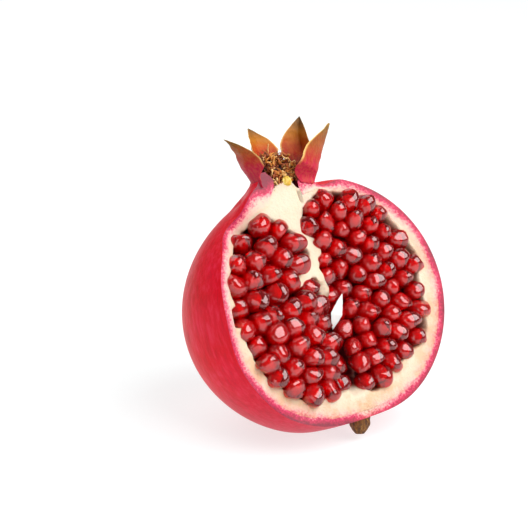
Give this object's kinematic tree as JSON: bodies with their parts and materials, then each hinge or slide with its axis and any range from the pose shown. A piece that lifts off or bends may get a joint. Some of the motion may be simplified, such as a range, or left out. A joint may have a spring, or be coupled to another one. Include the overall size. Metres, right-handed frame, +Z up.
{
  "type": "cut pomegranate",
  "caption": "Fresh pomegranate with its front sliced away, lying on a small flat spot with its red arils, pale pith, crown and stem stub showing.",
  "frame": {"origin": "on the small flat spot that the fruit rests on, straight under the middle of the uncut fruit", "axes": "+Z up; -Y towards the front, where the sliced face looks forwards and up; +X to the right as seen from the front"},
  "size_m": [0.093, 0.0743, 0.1047],
  "materials": {
    "rind": "waxy semi-gloss skin, streaked pink to deep red",
    "pith": "moist matt, cream to ivory",
    "arils": "wet, glossy and translucent deep red",
    "calyx": "dry and matt, golden orange inside and red-brown outside",
    "stamens": "dry, dull golden brown",
    "style": "matt yellow",
    "stem": "rough dry bark"
  },
  "bodies": {
    "root": {"rind": "rind", "pith": "pith", "arils_upper_left": "arils", "arils_lower_left": "arils", "arils_right": "arils", "calyx": "calyx", "stamens": "stamens", "style": "style", "stem_stub": "stem"}
  },
  "joints": []
}
